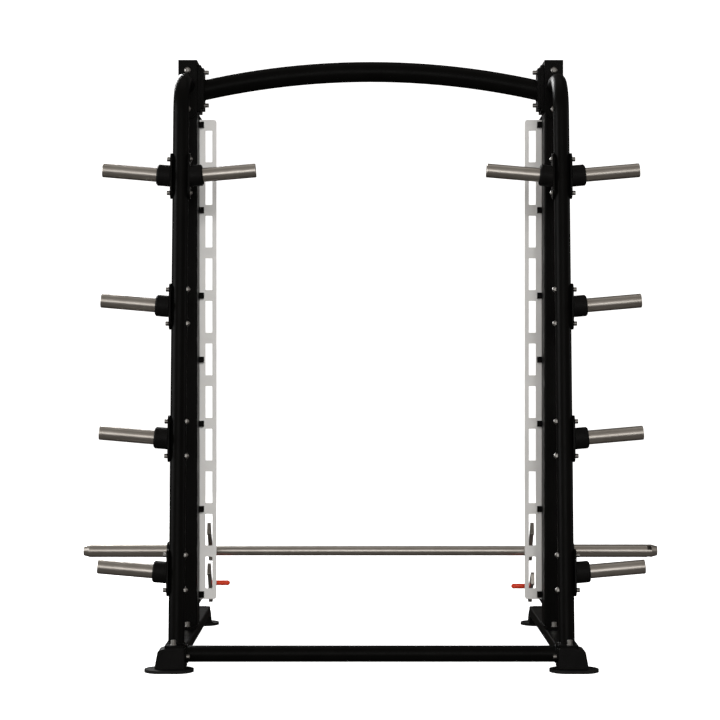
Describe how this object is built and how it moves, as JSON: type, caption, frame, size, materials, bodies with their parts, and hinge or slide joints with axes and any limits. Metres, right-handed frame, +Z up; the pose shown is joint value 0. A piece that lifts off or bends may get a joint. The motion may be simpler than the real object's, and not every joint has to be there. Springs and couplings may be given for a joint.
{
  "type": "smith machine",
  "caption": "Barbell held by carriages on vertical guide rods, latching into slotted plates inside a braced frame with an arched crossmember and tilted plate storage pegs.",
  "frame": {"origin": "on the floor, at the middle of the machine's box", "axes": "+X along the bar to the right, +Y towards the lifter's side, +Z up"},
  "size_m": [2.2, 1.323, 2.1935],
  "materials": {
    "frame_paint": "gloss black powder coat",
    "latch_paint": "satin light grey powder coat",
    "satin_steel": "satin, turned",
    "rod_chrome": "polished",
    "zinc_steel": "bright zinc plate",
    "black_plastic": "fine grain, matte",
    "black_rubber": "matte",
    "bearing_bronze": "bearing bronze, machined",
    "handle_grip": "red, soft gloss",
    "hook_steel": "zinc plated, satin"
  },
  "bodies": {
    "frame": {"arch_crossmember": "frame_paint", "arch_mount_plates": "frame_paint", "base_rail_left": "frame_paint", "base_rail_right": "frame_paint", "brace_top_bolts": "zinc_steel", "brace_tube_left": "frame_paint", "brace_tube_right": "frame_paint", "foot_boot_front_left": "black_plastic", "foot_boot_front_right": "black_plastic", "foot_boot_rear_left": "black_plastic", "foot_boot_rear_right": "black_plastic", "foot_pads": "black_rubber", "frame_bolts": "zinc_steel", "front_cross_tube": "frame_paint", "guide_rod_left": "rod_chrome", "guide_rod_right": "rod_chrome", "latch_plate_left": "latch_paint", "latch_plate_lugs": "frame_paint", "latch_plate_right": "latch_paint", "lug_screws": "zinc_steel", "peg_bolts": "zinc_steel", "peg_bosses": "black_plastic", "peg_end_plugs": "black_plastic", "peg_mount_plates": "frame_paint", "peg_nuts": "zinc_steel", "rod_brackets": "frame_paint", "stop_block_left": "frame_paint", "stop_block_right": "frame_paint", "stop_bumpers": "black_rubber", "stop_pivot_pins": "zinc_steel", "upright_caps": "black_plastic", "upright_left": "frame_paint", "upright_right": "frame_paint", "weight_peg_1_left": "satin_steel", "weight_peg_1_right": "satin_steel", "weight_peg_2_left": "satin_steel", "weight_peg_2_right": "satin_steel", "weight_peg_3_left": "satin_steel", "weight_peg_3_right": "satin_steel", "weight_peg_4_left": "satin_steel", "weight_peg_4_right": "satin_steel", "weight_peg_inner_left": "satin_steel", "weight_peg_inner_right": "satin_steel"},
    "carriages": {"carriage_left": "frame_paint", "carriage_right": "frame_paint", "linear_bushes": "zinc_steel", "bar_bearings": "zinc_steel"},
    "bar": {"bar_shaft": "satin_steel", "bar_hook_left": "hook_steel", "bar_hook_right": "hook_steel", "bar_collars": "frame_paint", "sleeve_retainers": "satin_steel"},
    "sleeve_left": {"bar_sleeve_left": "satin_steel", "sleeve_bushes_left": "bearing_bronze"},
    "sleeve_right": {"bar_sleeve_right": "satin_steel", "sleeve_bushes_right": "bearing_bronze"},
    "stop_left": {"stop_hook_left": "hook_steel", "stop_handle_left": "handle_grip"},
    "stop_right": {"stop_hook_right": "hook_steel", "stop_handle_right": "handle_grip"}
  },
  "joints": [
    {"name": "carriage_slide", "type": "slide", "parent": "frame", "child": "carriages", "axis": [0, 0, 1], "range_m": [0, 1.449]},
    {"name": "bar_turn", "type": "hinge", "parent": "carriages", "child": "bar", "pos_m": [0, 0.1435, 0.3445], "axis": [1, 0, 0], "range_deg": [0, 27]},
    {"name": "sleeve_left_spin", "type": "hinge", "parent": "bar", "child": "sleeve_left", "pos_m": [-0.92, 0.1435, 0.3445], "axis": [1, 0, 0], "continuous": true},
    {"name": "sleeve_right_spin", "type": "hinge", "parent": "bar", "child": "sleeve_right", "pos_m": [0.92, 0.1435, 0.3445], "axis": [1, 0, 0], "continuous": true},
    {"name": "stop_left_turn", "type": "hinge", "parent": "frame", "child": "stop_left", "pos_m": [-0.6125, 0.1435, 0.183], "axis": [1, 0, 0], "range_deg": [0, 31.5]},
    {"name": "stop_right_turn", "type": "hinge", "parent": "frame", "child": "stop_right", "pos_m": [0.6125, 0.1435, 0.183], "axis": [1, 0, 0], "range_deg": [-18, 13.5]}
  ]
}
